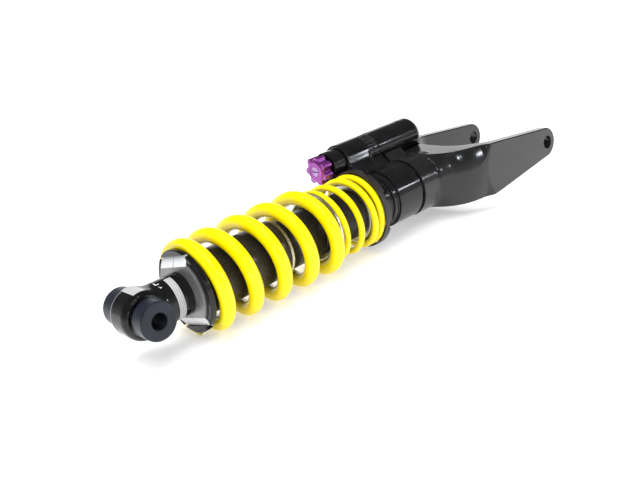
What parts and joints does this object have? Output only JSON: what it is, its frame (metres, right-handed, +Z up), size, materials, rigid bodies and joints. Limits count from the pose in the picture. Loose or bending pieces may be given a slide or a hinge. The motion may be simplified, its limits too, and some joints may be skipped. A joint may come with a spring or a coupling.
{
  "type": "coilover shock absorber",
  "caption": "Coilover with a bearing eye, a coil spring and a helper spring in series, a threaded collar, a side reservoir with a lobed knob, and a wide fork end.",
  "frame": {"origin": "centre of the eye bore", "axes": "+X along the damper from the eye to the fork, +Y along both bolts away from the near side, +Z up with the reservoir above the far side"},
  "size_m": [0.5375, 0.1134, 0.1013],
  "materials": {
    "gloss_black": "deep gloss black anodise",
    "satin_black": "satin black anodise",
    "dark_tube": "dark hard-coated tube",
    "collar_brown": "matte dark brown-grey anodise",
    "spring_yellow": "glossy yellow powder coat",
    "silver": "bright machined",
    "blue_grey": "blue-grey anodise",
    "purple": "purple anodise",
    "bearing_steel": "ground steel",
    "spring_steel": "dark steel",
    "rod_chrome": "hard chrome",
    "bronze": "sintered bronze",
    "brass_part": "turned brass",
    "rubber_black": "nitrile",
    "foam": "micro-cellular foam",
    "nylon": "nylon",
    "ptfe": "filled PTFE",
    "label_white": "blank white film"
  },
  "bodies": {
    "damper_body": {"damper_tube": "dark_tube", "rod_guide": "silver", "rod_seal": "rubber_black", "wiper_cap": "silver", "body_housing": "gloss_black", "lock_ring": "satin_black", "fork": "satin_black", "reservoir_tube": "gloss_black", "knurled_band": "satin_black", "reservoir_cap": "gloss_black", "gas_valve": "brass_part", "valve_cap": "rubber_black", "adjuster_body": "gloss_black", "main_spring": "spring_yellow", "helper_spring": "spring_yellow"},
    "rod_assembly": {"rod_eye": "gloss_black", "eye_race": "spring_steel", "eye_circlip_near": "spring_steel", "eye_circlip_far": "spring_steel", "neck_label": "label_white", "eye_label": "label_white", "retainer_a": "silver", "retainer_b": "silver", "spring_perch": "gloss_black", "dust_tube": "dark_tube", "dust_tube_ring": "silver", "piston_rod": "rod_chrome", "bump_stop": "foam", "piston": "bronze", "piston_band": "ptfe", "compression_shims": "spring_steel", "rebound_shims": "spring_steel", "piston_nut": "spring_steel"},
    "rebound_adjuster": {"rebound_screw": "brass_part"},
    "seat_body": {"spring_seat": "silver", "thrust_washer": "nylon"},
    "collar_body": {"adjuster_collar": "collar_brown", "collar_screw": "spring_steel"},
    "spacer_body": {"spring_spacer": "silver"},
    "gas_piston": {"floating_piston": "silver", "floating_oring": "rubber_black"},
    "knob_body": {"compression_knob": "purple"},
    "knob_screw_body": {"knob_screw": "purple"},
    "bearing_ball": {"eye_ball": "bearing_steel"},
    "eye_bush": {"eye_spacer_near": "blue_grey", "eye_spacer_far": "blue_grey"}
  },
  "joints": [
    {"name": "damper_stroke", "type": "slide", "parent": "damper_body", "child": "rod_assembly", "axis": [1, 0, 0], "range_m": [0, 0.052], "stiffness_N_per_m": 8000, "springref_m": -0.06},
    {"name": "spacer_travel", "type": "slide", "parent": "damper_body", "child": "spacer_body", "axis": [1, 0, 0], "range_m": [-0.0001, 0.00644], "deforming": ["main_spring", "helper_spring"]},
    {"name": "gas_piston_travel", "type": "slide", "parent": "damper_body", "child": "gas_piston", "axis": [1, 0, 0], "range_m": [-0.0001, 0.01989]},
    {"name": "collar_turn", "type": "hinge", "parent": "seat_body", "child": "collar_body", "pos_m": [0.2512, 0, 0], "axis": [1, 0, 0], "range_deg": [-720, 720]},
    {"name": "seat_travel", "type": "slide", "parent": "damper_body", "child": "seat_body", "axis": [1, 0, 0], "range_m": [-0.0042, 0.0042]},
    {"name": "rebound_clicks", "type": "hinge", "parent": "rod_assembly", "child": "rebound_adjuster", "pos_m": [0.022, 0, -0.019], "axis": [0, 0, -1], "range_deg": [-360, 360]},
    {"name": "compression_turn", "type": "hinge", "parent": "damper_body", "child": "knob_body", "pos_m": [0.2379, 0.03821, 0.03956], "axis": [1, 0, 0], "range_deg": [-360, 360]},
    {"name": "low_speed_turn", "type": "hinge", "parent": "knob_body", "child": "knob_screw_body", "pos_m": [0.2379, 0.03821, 0.03956], "axis": [1, 0, 0], "range_deg": [-360, 360]},
    {"name": "bearing_tilt", "type": "hinge", "parent": "rod_assembly", "child": "bearing_ball", "pos_m": [0, 0, 0], "axis": [0, 0, 1], "range_deg": [-4, 4]},
    {"name": "bush_turn", "type": "hinge", "parent": "bearing_ball", "child": "eye_bush", "pos_m": [0, 0, 0], "axis": [0, 1, 0], "continuous": true}
  ],
  "couplings": [
    {"joint": "spacer_travel", "follows": "damper_stroke", "ratio": 0.12},
    {"joint": "gas_piston_travel", "follows": "damper_stroke", "ratio": 0.3787},
    {"joint": "seat_travel", "follows": "collar_turn", "m_per_rad": 0.00031831}
  ]
}
